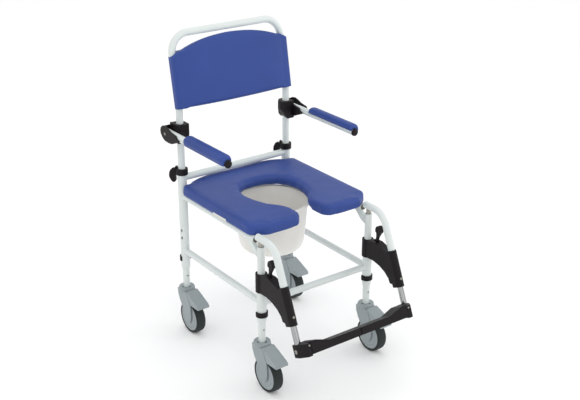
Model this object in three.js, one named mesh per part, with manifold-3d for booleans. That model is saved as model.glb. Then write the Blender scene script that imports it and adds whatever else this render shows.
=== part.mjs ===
// Wheeled commode chair: a welded tube frame with a padded seat over a slide-out pan, a lift-off
// backrest, flip-up arms, swing-away footrests and four braked casters.
// Millimetres, +Z up, the chair faces -Y, +X is the sitter's left. z = 0 is the floor.
import * as THREE from 'three';
import { mergeVertices } from 'three/addons/utils/BufferGeometryUtils.js';
import Module from 'manifold-3d';

const wasm = await Module();
wasm.setup();

// ---- driving dimensions ----
const FRAME_SHIFT = 4.645; // moves the whole chair along Y so that its box is centred on the origin
const LEG_X = 230; // leg axes
const REAR_LEG_Y = 344;
const FRONT_LEG_Y = -154;
const TUBE_R = 12.7;
const SLEEVE_R = 16.5;
const RAIL_R = 11.8;
const SLEEVE_BORE_R = 13;
const GAP = 0.3; // between pieces that touch
const TUBE_SIDES = 16;

const LEG_BOTTOM_Z = 247;
const REAR_LEG_TOP_Z = 640;
const FRONT_SLEEVE_TOP_Z = 366;
const FRONT_LEG_TOP_Z = 530;
const LOWER_RAIL_Z = 323;
const SEAT_RAIL_Z = 545;
const REAR_CROSSBAR_Z = 613;

const WHEEL_R = 62.5;
const WHEEL_HALF_WIDTH = 19;
const TRAIL = 38; // wheel centre ahead of the swivel axis
const CASTER_TOP_Z = 175;
const WHEEL_SIDES = 28;

const SEAT_BOTTOM_Z = 558;
const SEAT_TOP_Z = 597;
const PAN_CENTRE_Y = 115;
const PAN_RIM_Z = 549;

const BACK_BEND_Z = 870;
const BACK_TOP = new THREE.Vector2(389, 1127); // y, z of the push bar's axis
const BACK_CORNER_R = 68;

const ARM_X = 266;
const ARM_Z = 787;
const ARM_PIVOT_Y = 357;
const ARM_FRONT_Y = -28;

const HANGER_TOP_Z = 558;
const HANGER_TILT = THREE.MathUtils.degToRad(23);
const HANGER_FOOT = new THREE.Vector2(-288, 423); // y, z where the tube enters its bracket
const HANGER_BEND_R = 65;
const FOOT_TUBE_R = 10.5;

// ---- materials ----
function material(name, color, roughness, metalness = 0) {
  const made = new THREE.MeshStandardMaterial({ color, roughness, metalness });
  made.name = name;
  return made;
}
const paint = material('white_powder_coat', 0xdee6e4, 0.45, 0.1);
const vinyl = material('blue_vinyl', 0x485c9b, 0.5);
const black = material('black_plastic', 0x302a2c, 0.55);
const grey = material('grey_plastic', 0x949fa4, 0.5);
const rubber = material('tyre_rubber', 0x2a3232, 0.85);
const chrome = material('chrome', 0xc8ccd0, 0.12, 1);
const panPlastic = material('pan_plastic', 0xd4d2cc, 0.4);
const whitePlastic = material('white_plastic', 0xe4e6e0, 0.45);

// ---- solids and booleans ----
// Welds the corners and turns every face outwards.
function closed(geometry) {
  const bare = geometry.clone();
  bare.deleteAttribute('normal');
  bare.deleteAttribute('uv');
  const welded = mergeVertices(bare, 1e-4);
  const p = welded.attributes.position;
  const index = welded.index.array;
  const [a, b, c] = [new THREE.Vector3(), new THREE.Vector3(), new THREE.Vector3()];
  const kept = [];
  let volume = 0;
  for (let i = 0; i < index.length; i += 3) {
    const [i0, i1, i2] = [index[i], index[i + 1], index[i + 2]];
    if (i0 === i1 || i1 === i2 || i2 === i0) continue;
    kept.push(i0, i1, i2);
    a.fromBufferAttribute(p, i0);
    b.fromBufferAttribute(p, i1);
    c.fromBufferAttribute(p, i2);
    volume += a.dot(b.cross(c));
  }
  if (volume < 0) kept.reverse();
  welded.setIndex(kept);
  return welded;
}

function solid(geometry) {
  const welded = closed(geometry);
  return new wasm.Manifold(
    new wasm.Mesh({
      numProp: 3,
      vertProperties: new Float32Array(welded.attributes.position.array),
      triVerts: new Uint32Array(welded.index.array),
    }),
  );
}

function geometryOf(body) {
  const mesh = body.getMesh();
  const geometry = new THREE.BufferGeometry();
  geometry.setAttribute('position', new THREE.BufferAttribute(mesh.vertProperties, 3));
  geometry.setIndex(Array.from(mesh.triVerts));
  return geometry;
}

function join(...geometries) {
  return geometryOf(geometries.map(solid).reduce((sum, next) => sum.add(next)));
}

function cut(geometry, ...tools) {
  return geometryOf(tools.map(solid).reduce((left, tool) => left.subtract(tool), solid(geometry)));
}

function common(first, second) {
  return geometryOf(solid(first).intersect(solid(second)));
}

function mirrored(geometry) {
  return closed(geometry.clone().scale(-1, 1, 1));
}

// ---- shape makers ----
const v2 = (x, y) => new THREE.Vector2(x, y);
const v3 = (x, y, z) => new THREE.Vector3(x, y, z);

// A path that steps through its own stations, so straight runs cost one step.
class StationPath extends THREE.Curve {
  constructor(stations) {
    super();
    this.stations = stations;
  }

  getPoint(t, target = new THREE.Vector3()) {
    const place = Math.min(Math.max(t, 0), 1) * (this.stations.length - 1);
    const start = Math.min(Math.floor(place), this.stations.length - 2);
    return target.copy(this.stations[start]).lerp(this.stations[start + 1], place - start);
  }

  getPointAt(u, target) {
    return this.getPoint(u, target);
  }

  getTangentAt(u, target = new THREE.Vector3()) {
    const i = Math.round(u * (this.stations.length - 1));
    const before = this.stations[Math.max(i - 1, 0)];
    const here = this.stations[i];
    const after = this.stations[Math.min(i + 1, this.stations.length - 1)];
    const into = here.clone().sub(before).normalize();
    const out = after.clone().sub(here).normalize();
    return target.copy(into).add(out).normalize();
  }
}

// Corner points with a bend radius at each inner corner become a list of stations.
function bent(corners, radii, steps = 6) {
  const stations = [corners[0]];
  for (let i = 1; i < corners.length - 1; i += 1) {
    const into = corners[i].clone().sub(corners[i - 1]).normalize();
    const out = corners[i + 1].clone().sub(corners[i]).normalize();
    const turn = into.angleTo(out);
    const reach = radii[i - 1] * Math.tan(turn / 2);
    const start = corners[i].clone().addScaledVector(into, -reach);
    const side = out.clone().addScaledVector(into, -out.dot(into)).normalize();
    const centre = start.clone().addScaledVector(side, radii[i - 1]);
    for (let k = 0; k <= steps; k += 1) {
      const angle = (turn * k) / steps;
      const spoke = side.clone().multiplyScalar(-Math.cos(angle)).addScaledVector(into, Math.sin(angle));
      stations.push(centre.clone().addScaledVector(spoke, radii[i - 1]));
    }
  }
  stations.push(corners[corners.length - 1]);
  return stations;
}

function circle(radius, sides = TUBE_SIDES) {
  const points = [];
  for (let i = 0; i < sides; i += 1) {
    const angle = (2 * Math.PI * i) / sides;
    points.push(v2(radius * Math.cos(angle), radius * Math.sin(angle)));
  }
  return points;
}

function sweep(section, stations) {
  return new THREE.ExtrudeGeometry(new THREE.Shape(section), {
    steps: stations.length - 1,
    extrudePath: new StationPath(stations),
  });
}

function rod(from, to, radius, sides = TUBE_SIDES) {
  const along = to.clone().sub(from);
  const geometry = new THREE.CylinderGeometry(radius, radius, along.length(), sides);
  geometry.applyQuaternion(
    new THREE.Quaternion().setFromUnitVectors(v3(0, 1, 0), along.clone().normalize()),
  );
  return geometry.translate(...from.clone().add(to).multiplyScalar(0.5).toArray());
}

function block(x0, x1, y0, y1, z0, z1) {
  const geometry = new THREE.BoxGeometry(x1 - x0, y1 - y0, z1 - z0);
  return geometry.translate((x0 + x1) / 2, (y0 + y1) / 2, (z0 + z1) / 2);
}

// An outline in X and Y, from z0 to z1.
function slab(outline, z0, z1) {
  const shape = outline instanceof THREE.Shape ? outline : new THREE.Shape(outline);
  const geometry = new THREE.ExtrudeGeometry(shape, {
    depth: z1 - z0,
    bevelEnabled: false,
    curveSegments: 6,
  });
  return geometry.translate(0, 0, z0);
}

// A side view outline of [y, z] points, from x0 to x1.
function sideSlab(outline, x0, x1) {
  const shape = new THREE.Shape(outline.map(([y, z]) => v2(y, z)));
  const geometry = new THREE.ExtrudeGeometry(shape, { depth: x1 - x0, bevelEnabled: false });
  const turn = new THREE.Matrix4().makeBasis(v3(0, 1, 0), v3(0, 0, 1), v3(1, 0, 0));
  return geometry.applyMatrix4(turn).translate(x0, 0, 0);
}

// A front view outline of [x, z] points, from y0 to y1.
function frontSlab(outline, y0, y1) {
  const shape = new THREE.Shape(outline.map(([x, z]) => v2(x, z)));
  const geometry = new THREE.ExtrudeGeometry(shape, { depth: y1 - y0, bevelEnabled: false });
  return geometry.rotateX(Math.PI / 2).translate(0, y1, 0);
}

// A closed profile of [radius, height] points turned about Z.
function turned(profile, sides = TUBE_SIDES) {
  const points = [...profile, profile[0]].map(([r, z]) => v2(r, z));
  return new THREE.LatheGeometry(points, sides).rotateX(Math.PI / 2);
}

// The same, turned about X: the height becomes a place along X.
function turnedAboutX(profile, sides = WHEEL_SIDES) {
  return turned(profile, sides).rotateZ(Math.PI / sides).rotateY(Math.PI / 2);
}

const group = new THREE.Group();
group.position.y = FRAME_SHIFT;

function add(name, geometry, finish, parent = group) {
  const mesh = new THREE.Mesh(closed(geometry), finish);
  mesh.name = name;
  parent.add(mesh);
  return mesh;
}

// The sitter's right is -X and left is +X. Parts are drawn on the +X side and mirrored.
function addPair(name, geometry, finish) {
  add(`${name}_left`, geometry, finish);
  add(`${name}_right`, mirrored(geometry), finish);
}

function leg(y, z0 = 0, z1 = 1000, radius = SLEEVE_R + GAP) {
  return rod(v3(LEG_X, y, z0), v3(LEG_X, y, z1), radius);
}

// ---- frame ----
function addLegs() {
  const taper = 14;
  const rear = turned([
    [SLEEVE_BORE_R, LEG_BOTTOM_Z],
    [taper, LEG_BOTTOM_Z],
    [SLEEVE_R, LEG_BOTTOM_Z + 12],
    [SLEEVE_R, REAR_LEG_TOP_Z],
    [SLEEVE_BORE_R, REAR_LEG_TOP_Z],
  ]);
  addPair('rear_leg', rear.translate(LEG_X, REAR_LEG_Y, 0), paint);

  const bushR = 9.4;
  const front = turned([
    [SLEEVE_BORE_R, LEG_BOTTOM_Z],
    [taper, LEG_BOTTOM_Z],
    [SLEEVE_R, LEG_BOTTOM_Z + 12],
    [SLEEVE_R, FRONT_SLEEVE_TOP_Z - 4],
    [TUBE_R, FRONT_SLEEVE_TOP_Z],
    [TUBE_R, FRONT_LEG_TOP_Z],
    [bushR, FRONT_LEG_TOP_Z],
    [bushR, FRONT_SLEEVE_TOP_Z + 40],
    [SLEEVE_BORE_R - 3, FRONT_SLEEVE_TOP_Z + 30],
    [SLEEVE_BORE_R - 3, FRONT_SLEEVE_TOP_Z + 10],
    [SLEEVE_BORE_R, FRONT_SLEEVE_TOP_Z - 10],
  ]);
  addPair('front_leg', front.translate(LEG_X, FRONT_LEG_Y, 0), paint);
}

function addRails() {
  const lower = cut(
    rod(v3(LEG_X, FRONT_LEG_Y, LOWER_RAIL_Z), v3(LEG_X, REAR_LEG_Y, LOWER_RAIL_Z), RAIL_R),
    leg(FRONT_LEG_Y),
    leg(REAR_LEG_Y),
  );
  addPair('side_rail', lower, paint);

  const crossbars = [
    ['front_crossbar', FRONT_LEG_Y, LOWER_RAIL_Z, RAIL_R],
    ['rear_crossbar', REAR_LEG_Y, REAR_CROSSBAR_Z, TUBE_R],
  ];
  for (const [name, y, z, radius] of crossbars) {
    const bar = cut(
      rod(v3(-LEG_X, y, z), v3(LEG_X, y, z), radius),
      leg(y),
      leg(y).translate(-2 * LEG_X, 0, 0),
    );
    add(name, bar, paint);
  }
}

function addSeatRails() {
  const frontEnd = -124;
  const rail = rod(v3(LEG_X, frontEnd, SEAT_RAIL_Z), v3(LEG_X, REAR_LEG_Y, SEAT_RAIL_Z), TUBE_R);
  const gusset = sideSlab(
    [
      [-70, 538],
      [-94, 520],
      [-118, 499],
      [-148, 487],
      [-148, 512],
      [-128, 521],
      [-112, 534],
      [-108, 540],
    ],
    LEG_X - 8,
    LEG_X + 8,
  );
  const endHollow = rod(v3(LEG_X, frontEnd - 1, SEAT_RAIL_Z), v3(LEG_X, frontEnd + 6, SEAT_RAIL_Z), 8.5);
  const joined = cut(
    join(rail, gusset),
    leg(REAR_LEG_Y),
    leg(FRONT_LEG_Y, 0, 1000, TUBE_R + GAP),
    endHollow,
  );
  addPair('seat_rail', joined, paint);
}

// A spring clip that holds the height pin of a leg: an open band with its pin.
function addHeightClips() {
  const inner = SLEEVE_R + GAP;
  const outer = 21.3;
  const halfHeight = 9;
  const clips = [
    ['front_height_clip', FRONT_LEG_Y, 281, -90, 110],
    ['rear_height_clip', REAR_LEG_Y, 293, 90, 100],
  ];
  for (const [name, y, z, facing, halfArc] of clips) {
    const start = THREE.MathUtils.degToRad(facing - halfArc);
    const end = THREE.MathUtils.degToRad(facing + halfArc);
    const band = new THREE.Shape();
    band.absarc(0, 0, outer, start, end, false);
    band.absarc(0, 0, inner, end, start, true);
    const clip = slab(band, z - halfHeight, z + halfHeight).translate(LEG_X, y, 0);
    addPair(name, clip, black);
  }
}

// ---- seat ----
// Half of the pad's plan outline from the rear middle round to the front of the opening, x >= 0.
function seatShape(inset = 0) {
  const side = 250 - inset;
  const shape = new THREE.Shape();
  const right = [
    [120, 363 - inset],
    [165, 352 - inset],
    [200, 336 - inset],
    [212, 325 - inset],
    [236 - inset, 323 - inset],
  ];
  const prong = [
    [side, -98],
    [246 - inset, -110 + inset],
    [232, -123 + inset],
    [215, -132 + inset],
    [196, -146 + inset],
    [120, -148 + inset],
    [70, -143 + inset],
    [54 + inset, -132 + inset],
  ];
  const opening = [
    [47 + inset, -114],
    [46 + inset, -48],
    [62 + inset, -20],
    [85 + inset, 12],
    [102 + inset, 62],
    [109 + inset, 115],
    [101 + inset, 160],
    [80 + inset, 192 + inset],
    [45, 211 + inset],
  ];
  shape.moveTo(...right[0]);
  for (const [x, y] of right.slice(1)) shape.lineTo(x, y);
  shape.quadraticCurveTo(side, 323 - inset, side, 308 - inset);
  for (const [x, y] of [...prong, ...opening]) shape.lineTo(x, y);
  shape.lineTo(0, 217 + inset);
  for (const [x, y] of opening.reverse()) shape.lineTo(-x, y);
  for (const [x, y] of prong.reverse()) shape.lineTo(-x, y);
  shape.lineTo(-side, 308 - inset);
  shape.quadraticCurveTo(-side, 323 - inset, -236 + inset, 323 - inset);
  for (const [x, y] of right.reverse().slice(1)) shape.lineTo(-x, y);
  return shape;
}

function addSeat() {
  const plateTop = SEAT_BOTTOM_Z + 6;
  const inset = 10;
  const clipTop = SEAT_BOTTOM_Z + 12;
  const [clipY0, clipY1] = [26, 108];
  const runnerX = 146;
  const runnerTop = PAN_RIM_Z - 3 - GAP;
  const plate = slab(seatShape(inset), SEAT_BOTTOM_Z + GAP, plateTop);
  const parts = [plate];
  for (const side of [-1, 1]) {
    const [a, b] = [side * (240 - 4), side * 250].sort((p, q) => p - q);
    parts.push(block(a, b, clipY0, clipY1, SEAT_BOTTOM_Z + GAP, clipTop));
    const [c, d] = [side * (runnerX + 4), side * runnerX].sort((p, q) => p - q);
    parts.push(block(c, d, -36, 300, 540, SEAT_BOTTOM_Z + 3));
    const [e, f] = [side * (runnerX + 2), side * (runnerX - 9)].sort((p, q) => p - q);
    parts.push(block(e, f, -36, 300, 540, runnerTop));
  }
  add('seat_base', join(...parts), whitePlastic);

  const pocket = slab(seatShape(inset - 0.5), SEAT_BOTTOM_Z - 5, plateTop + GAP);
  const notches = [-1, 1].map((side) => {
    const [a, b] = [side * 235.5, side * 255].sort((p, q) => p - q);
    return block(a, b, clipY0 - GAP, clipY1 + GAP, SEAT_BOTTOM_Z - 5, clipTop + GAP);
  });
  const crownStep = 10;
  const lower = slab(seatShape(), SEAT_BOTTOM_Z, SEAT_TOP_Z - crownStep);
  const upper = slab(seatShape(6), SEAT_TOP_Z - crownStep - 1, SEAT_TOP_Z);
  add('seat_cushion', cut(join(lower, upper), pocket, ...notches), vinyl);
}

function addPan() {
  const pan = turned(
    [
      [0, 364],
      [86, 364],
      [112, 378],
      [119, 400],
      [126, 466],
      [132, PAN_RIM_Z - 3],
      [143, PAN_RIM_Z - 3],
      [143, PAN_RIM_Z],
      [129, PAN_RIM_Z],
      [123, 466],
      [116, 402],
      [109, 381],
      [85, 367.5],
      [0, 367.5],
    ],
    32,
  );
  add('commode_pan', pan.translate(0, PAN_CENTRE_Y, 0), panPlastic);
}

// ---- backrest ----
const backTilt = Math.atan2(BACK_TOP.x - REAR_LEG_Y, BACK_TOP.y - BACK_BEND_Z);

function backPath() {
  const foot = 562;
  const corners = [
    v3(-LEG_X, REAR_LEG_Y, foot),
    v3(-LEG_X, REAR_LEG_Y, BACK_BEND_Z),
    v3(-LEG_X, BACK_TOP.x, BACK_TOP.y),
    v3(LEG_X, BACK_TOP.x, BACK_TOP.y),
    v3(LEG_X, REAR_LEG_Y, BACK_BEND_Z),
    v3(LEG_X, REAR_LEG_Y, foot),
  ];
  return bent(corners, [150, BACK_CORNER_R, BACK_CORNER_R, 150], 5);
}

// The sling panel lies in the tilted plane of the posts: local x across, local y up the slope.
function addBackrest() {
  add('back_frame', sweep(circle(TUBE_R), backPath()), paint);

  const halfWidth = 244.3;
  const backThick = 14.4;
  const frontThick = 26;
  const hollow = 4;
  const slope = (z) => (z - BACK_BEND_Z) / Math.cos(backTilt);
  const bottom = slope(874);
  const shoulder = slope(1052);
  const apex = slope(1109);
  const outline = new THREE.Shape();
  outline.moveTo(-halfWidth, bottom);
  outline.quadraticCurveTo(0, bottom - 14, halfWidth, bottom);
  outline.lineTo(halfWidth, shoulder);
  outline.bezierCurveTo(halfWidth - 30, shoulder + 34, 120, apex, 0, apex);
  outline.bezierCurveTo(-120, apex, -halfWidth + 30, shoulder + 34, -halfWidth, shoulder);
  const tilt = (geometry) => {
    geometry.rotateX(Math.PI / 2 - backTilt);
    return geometry.translate(0, REAR_LEG_Y, BACK_BEND_Z);
  };
  const front = tilt(slab(outline, -backThick, frontThick));
  const frontEdge = [
    v2(halfWidth, -13),
    v2(halfWidth - 4, -21),
    v2(halfWidth - 13, -frontThick),
  ];
  const backEdge = [
    v2(LEG_X - 34, hollow),
    v2(LEG_X - 12, backThick),
    v2(halfWidth - 6, backThick),
    v2(halfWidth, 9),
  ];
  const half = [...backEdge, ...frontEdge];
  const section = [...half, ...half.map((p) => v2(-p.x, p.y)).reverse()];
  // The section runs along the slope: its own y becomes the panel's thickness.
  const channelled = new THREE.ExtrudeGeometry(new THREE.Shape(section), { depth: 330, bevelEnabled: false });
  channelled.translate(0, 0, -40).rotateX(-backTilt).translate(0, REAR_LEG_Y, BACK_BEND_Z);
  const panel = common(front, channelled);
  add('back_upholstery', cut(panel, sweep(circle(TUBE_R + GAP), backPath())), vinyl);
}

// The quick-release collars at the tops of the rear legs are two alike parts, not mirrored.
function addBackCollars() {
  const height = 22;
  const lip = 9;
  const leverAngle = THREE.MathUtils.degToRad(130);
  const ring = turned([
    [SLEEVE_R + GAP, REAR_LEG_TOP_Z - height + lip],
    [22, REAR_LEG_TOP_Z - height + lip],
    [22, REAR_LEG_TOP_Z + lip],
    [TUBE_R + GAP, REAR_LEG_TOP_Z + lip],
    [TUBE_R + GAP, REAR_LEG_TOP_Z + GAP],
    [SLEEVE_R + GAP, REAR_LEG_TOP_Z + GAP],
  ]);
  const ear = block(17, 24, -7, 7, REAR_LEG_TOP_Z - 12, REAR_LEG_TOP_Z + 15);
  const collar = join(ring, ear);

  // The cam lever hangs in the upright plane through the ear and turns about its rounded top.
  const leverHalfWidth = 6;
  const leverOutline = [
    [25.2, 638],
    [25.6, 643.5],
    [28.8, 646.9],
    [33, 648],
    [38.5, 645.3],
    [43, 640.5],
    [46.8, 631],
    [48, 620],
    [46.5, 611],
    [42.5, 604.5],
    [38.5, 598],
    [32, 594.5],
    [26, 596],
    [23, 601],
    [23, 624],
    [25.2, 627],
  ];
  const lever = frontSlab(leverOutline, -leverHalfWidth, leverHalfWidth);
  for (const [side, x] of [['left', LEG_X], ['right', -LEG_X]]) {
    const place = (geometry) => geometry.clone().rotateZ(leverAngle).translate(x, REAR_LEG_Y, 0);
    add(`back_collar_${side}`, place(collar), black);
    add(`back_lever_${side}`, place(lever), black);
  }
}

// ---- arms ----
function addArms() {
  const post = rod(v3(LEG_X, REAR_LEG_Y, 0), v3(LEG_X, REAR_LEG_Y, 1200), TUBE_R + GAP);
  const clampOut = 252;
  const clampTop = 819;
  const clampPlan = slab(
    [v2(200, 336), v2(206, 321), v2(clampOut, 321), v2(clampOut, 376), v2(216, 370), v2(200, 352)],
    740,
    840,
  );
  const clampFront = frontSlab(
    [
      [198, 794],
      [212, 766],
      [224, 752],
      [clampOut, 752],
      [clampOut, clampTop],
      [205, clampTop],
      [198, clampTop - 7],
    ],
    300,
    380,
  );
  const wall = [
    [262, 784],
    [290, 770],
    [310, 762],
    [335, 759],
    [360, 761],
    [376, 769],
    [387, 781],
    [389, 794],
    [385, 804],
    [374, 813],
    [356, 816],
    [338, 812],
    [318, 804],
    [284, 799],
    [279, 790],
  ];
  const wallIn = 245;
  const wallOut = ARM_X + TUBE_R + 6;
  const inner = sideSlab(wall, wallIn, ARM_X - TUBE_R - 1);
  const outer = sideSlab(wall, ARM_X + TUBE_R + 1, wallOut);
  const floorTop = ARM_Z - TUBE_R - GAP;
  // The floor dips under the pivot, where the tail of the tube turns.
  const floor = sideSlab(
    [
      [290, 770],
      [310, 762],
      [335, 759],
      [360, 761],
      [376, 769],
      [376, 771],
      [364, 768],
      [343, 768],
      [338, floorTop],
      [290, floorTop],
    ],
    wallIn,
    wallOut,
  );
  const rearBlock = sideSlab(
    [
      [376, 769],
      [387, 781],
      [389, 794],
      [385, 804],
      [376, 811],
    ],
    wallIn,
    wallOut,
  );
  const clamp = common(clampPlan, clampFront);
  addPair('arm_bracket', cut(join(clamp, inner, outer, floor, rearBlock), post), black);

  const tube = rod(v3(ARM_X, ARM_FRONT_Y, ARM_Z), v3(ARM_X, ARM_PIVOT_Y + 13, ARM_Z), TUBE_R);
  addPair('arm_tube', tube, paint);

  // The pad leans outwards over the tube.
  const padHalfWidth = 21;
  const padLean = THREE.MathUtils.degToRad(-16);
  const padSection = new THREE.Shape();
  padSection.moveTo(-padHalfWidth, 2);
  padSection.lineTo(padHalfWidth, -3);
  padSection.lineTo(padHalfWidth, 10);
  padSection.bezierCurveTo(padHalfWidth, 22, 10, 29, 0, 29);
  padSection.bezierCurveTo(-10, 29, -padHalfWidth, 22, -padHalfWidth, 12);
  const [padFront, padRear] = [-20, 230];
  const foam = new THREE.ExtrudeGeometry(padSection, {
    depth: padRear - padFront,
    bevelEnabled: false,
    curveSegments: 8,
  });
  foam.rotateZ(padLean).rotateX(Math.PI / 2).translate(ARM_X, padRear, ARM_Z);
  const tubeRoom = rod(v3(ARM_X, padFront - 1, ARM_Z), v3(ARM_X, padRear + 1, ARM_Z), TUBE_R + GAP);
  addPair('arm_pad', cut(foam, tubeRoom), vinyl);
}

// ---- swing-away footrests ----
const down = v2(-Math.sin(HANGER_TILT), -Math.cos(HANGER_TILT));
const ahead = v2(-Math.cos(HANGER_TILT), Math.sin(HANGER_TILT));

// A place near the sloping tube: s down the slope from the bracket's mouth, t ahead of the axis.
function onHanger(s, t = 0) {
  const p = HANGER_FOOT.clone().addScaledVector(down, s).addScaledVector(ahead, t);
  return [p.x, p.y];
}

function hangerRod(s0, s1, radius) {
  const [a, b] = [onHanger(s0), onHanger(s1)];
  return rod(v3(LEG_X, ...a), v3(LEG_X, ...b), radius);
}

function addHangers() {
  const rearEnd = -135;
  const insideBracket = 104;
  const rise = (HANGER_TOP_Z - HANGER_FOOT.y) / Math.cos(HANGER_TILT);
  const corner = v3(LEG_X, ...onHanger(-rise));
  const stations = bent(
    [v3(LEG_X, rearEnd, HANGER_TOP_Z), corner, v3(LEG_X, ...onHanger(insideBracket))],
    [HANGER_BEND_R],
    6,
  );
  const pin = rod(v3(LEG_X, FRONT_LEG_Y, 470), v3(LEG_X, FRONT_LEG_Y, HANGER_TOP_Z), 9);
  const bore = hangerRod(-24, insideBracket + 5, FOOT_TUBE_R + GAP);
  addPair('hanger_tube', cut(join(sweep(circle(TUBE_R), stations), pin), bore), paint);

  const ringTop = 433;
  const ring = rod(
    v3(LEG_X, FRONT_LEG_Y, FRONT_SLEEVE_TOP_Z + GAP),
    v3(LEG_X, FRONT_LEG_Y, ringTop),
    20.5,
  );
  const web = sideSlab(
    [
      [-154, FRONT_SLEEVE_TOP_Z + 1],
      [-205, 369],
      [-238, 362],
      [-266, 350],
      [-287, 334],
      [-296, 318],
      onHanger(104, -21),
      onHanger(116, -20),
      onHanger(116, 2),
      onHanger(-14, 2),
      onHanger(-10, -12),
      [-248, 432],
      [-215, 441],
      [-190, 440],
      [-170, ringTop],
      [-154, ringTop],
    ],
    LEG_X - 15.5,
    LEG_X + 15.5,
  );
  const sleeve = hangerRod(-14, 116, 15.5);
  const legHole = leg(FRONT_LEG_Y, 300, 600, TUBE_R + GAP);
  const tubeHole = hangerRod(-40, insideBracket + GAP, TUBE_R + GAP);
  const footHole = hangerRod(100, 130, FOOT_TUBE_R + GAP);
  const leverSlot = block(LEG_X - 4.5, LEG_X + 4.5, -215, -186, 424, 450);
  const bracket = cut(join(ring, web, sleeve), legHole, tubeHole, footHole, leverSlot);
  addPair('hanger_bracket', bracket, black);

  const stalk = sideSlab(
    [
      [-192, 426],
      [-200, 444],
      [-203, 460],
      [-202, 476],
      [-201, 490],
      [-206, 500],
      [-216, 504],
      [-225, 499],
      [-228, 487],
      [-222, 472],
      [-213, 458],
      [-210, 444],
      [-206, 426],
    ],
    LEG_X - 4,
    LEG_X + 4,
  );
  const bulb = sideSlab(
    [
      [-201, 480],
      [-201, 490],
      [-206, 500],
      [-216, 504],
      [-225, 499],
      [-228, 487],
      [-225, 478],
      [-213, 473],
    ],
    LEG_X - 8,
    LEG_X + 8,
  );
  addPair('latch_lever', join(stalk, bulb), black);
}

function addFootrests() {
  const tubeEnd = 200;
  const [blockTop, blockFoot] = [178, 222];
  const plateEnd = 206;
  const blockIn = plateEnd + 2 * GAP;
  const blockPlan = [
    v2(blockIn, -15),
    v2(243, -15),
    v2(243, 12),
    v2(224, 41),
    v2(blockIn, 41),
  ];
  const alongTube = new THREE.Matrix4().makeBasis(
    v3(1, 0, 0),
    v3(0, ahead.x, ahead.y),
    v3(0, down.x, down.y),
  );
  const socket = slab(blockPlan, blockTop, blockFoot).applyMatrix4(alongTube);
  socket.translate(0, HANGER_FOOT.x, HANGER_FOOT.y);
  addPair('footrest_tube', join(hangerRod(12, tubeEnd, FOOT_TUBE_R), socket), chrome);

  // The plate is a sloping tray: its tall outer end drops to a lower bar that meets its twin.
  // It folds up about its top outer edge.
  const frontTop = v2(-394, 279);
  const frontHeight = 43;
  const heelSlope = 0.5;
  const depth = 62;
  const back = v2(Math.cos(heelSlope), -Math.sin(heelSlope));
  const frontFoot = frontTop.clone().addScaledVector(down, frontHeight);
  const rearTop = frontTop.clone().addScaledVector(back, depth);
  const rearFoot = frontFoot.clone().addScaledVector(back, depth - 8).add(v2(0, 8));
  const profile = [frontTop, frontFoot, rearFoot, rearTop].map((p) => [p.x, p.y]);
  const bar = sideSlab(profile, 1.5, plateEnd);
  const [stepIn, stepOut, stepDepth] = [130, 185, 17];
  const above = slab(
    [v2(-5, -stepDepth), v2(stepIn, -stepDepth), v2(stepOut, 0), v2(stepOut + 2, 60), v2(-5, 60)],
    -20,
    depth + 20,
  );
  const slopeBasis = new THREE.Matrix4().makeBasis(
    v3(1, 0, 0),
    v3(0, Math.sin(heelSlope), Math.cos(heelSlope)),
    v3(0, -Math.cos(heelSlope), Math.sin(heelSlope)),
  );
  above.applyMatrix4(slopeBasis).translate(0, rearTop.x, rearTop.y);
  addPair('footplate', cut(bar, above), black);
}

// ---- casters ----
const forkSide = [
  [26, 164],
  [24, 142],
  [13, 118],
  [-4, 96],
  [-12, 76],
  [-16, 58],
  [-26, 44],
  [-38, 40],
  [-50, 44],
  [-60, 58],
  [-62, 76],
  [-61, 100],
  [-60, 118],
  [-36, 164],
];

function casterParts() {
  const armIn = WHEEL_HALF_WIDTH + 1.5;
  const armOut = armIn + 4;
  const wheelCentre = v3(0, -TRAIL, WHEEL_R);
  const wheelRoom = rod(v3(-armIn, -TRAIL, WHEEL_R), v3(armIn, -TRAIL, WHEEL_R), WHEEL_R + 2.6, WHEEL_SIDES);
  const head = turned([[0, 160], [30, 160], [31, 166], [29, CASTER_TOP_Z], [0, CASTER_TOP_Z]]);
  const cheeks = cut(sideSlab(forkSide, -armOut, armOut), wheelRoom);
  const stem = rod(v3(0, 0, 150), v3(0, 0, 214), 9.8);
  const axle = rod(v3(-armIn - 1, -TRAIL, WHEEL_R), v3(armIn + 1, -TRAIL, WHEEL_R), 5);
  const fork = join(head, cheeks, stem, axle);

  const pedalOutline = [
    [-60.5, 124],
    [-38, 165],
    [-33, 169],
    [-60, 160],
    [-111, 140],
    [-117, 134],
    [-117, 126],
  ];
  const pedalHalfWidth = 24.5;
  const pressed = wheelRoom.clone();
  pressed.translate(0, 52, -130).rotateX(THREE.MathUtils.degToRad(-6)).translate(0, -52, 130);
  const pedal = cut(sideSlab(pedalOutline, -pedalHalfWidth, pedalHalfWidth), wheelRoom, pressed);

  const rimR = 53 / Math.cos(Math.PI / WHEEL_SIDES);
  const treadR = WHEEL_R / Math.cos(Math.PI / WHEEL_SIDES);
  const faceX = WHEEL_HALF_WIDTH - 1;
  const grooveX = WHEEL_HALF_WIDTH - 3;
  const hub = turnedAboutX([
    [5.4, -faceX],
    [38, -faceX],
    [40, -grooveX],
    [42, -faceX],
    [rimR - 0.4, -faceX],
    [rimR - 0.4, faceX],
    [42, faceX],
    [40, grooveX],
    [38, faceX],
    [5.4, faceX],
  ]);
  const tyre = turnedAboutX([
    [rimR, -faceX],
    [rimR + 4, -WHEEL_HALF_WIDTH],
    [treadR - 2.5, -faceX],
    [treadR, -faceX + 5],
    [treadR, faceX - 5],
    [treadR - 2.5, faceX],
    [rimR + 4, WHEEL_HALF_WIDTH],
    [rimR, faceX],
  ]);
  for (const wheelPart of [hub, tyre]) wheelPart.translate(...wheelCentre.toArray());
  return { fork, pedal, hub, tyre };
}

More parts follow.
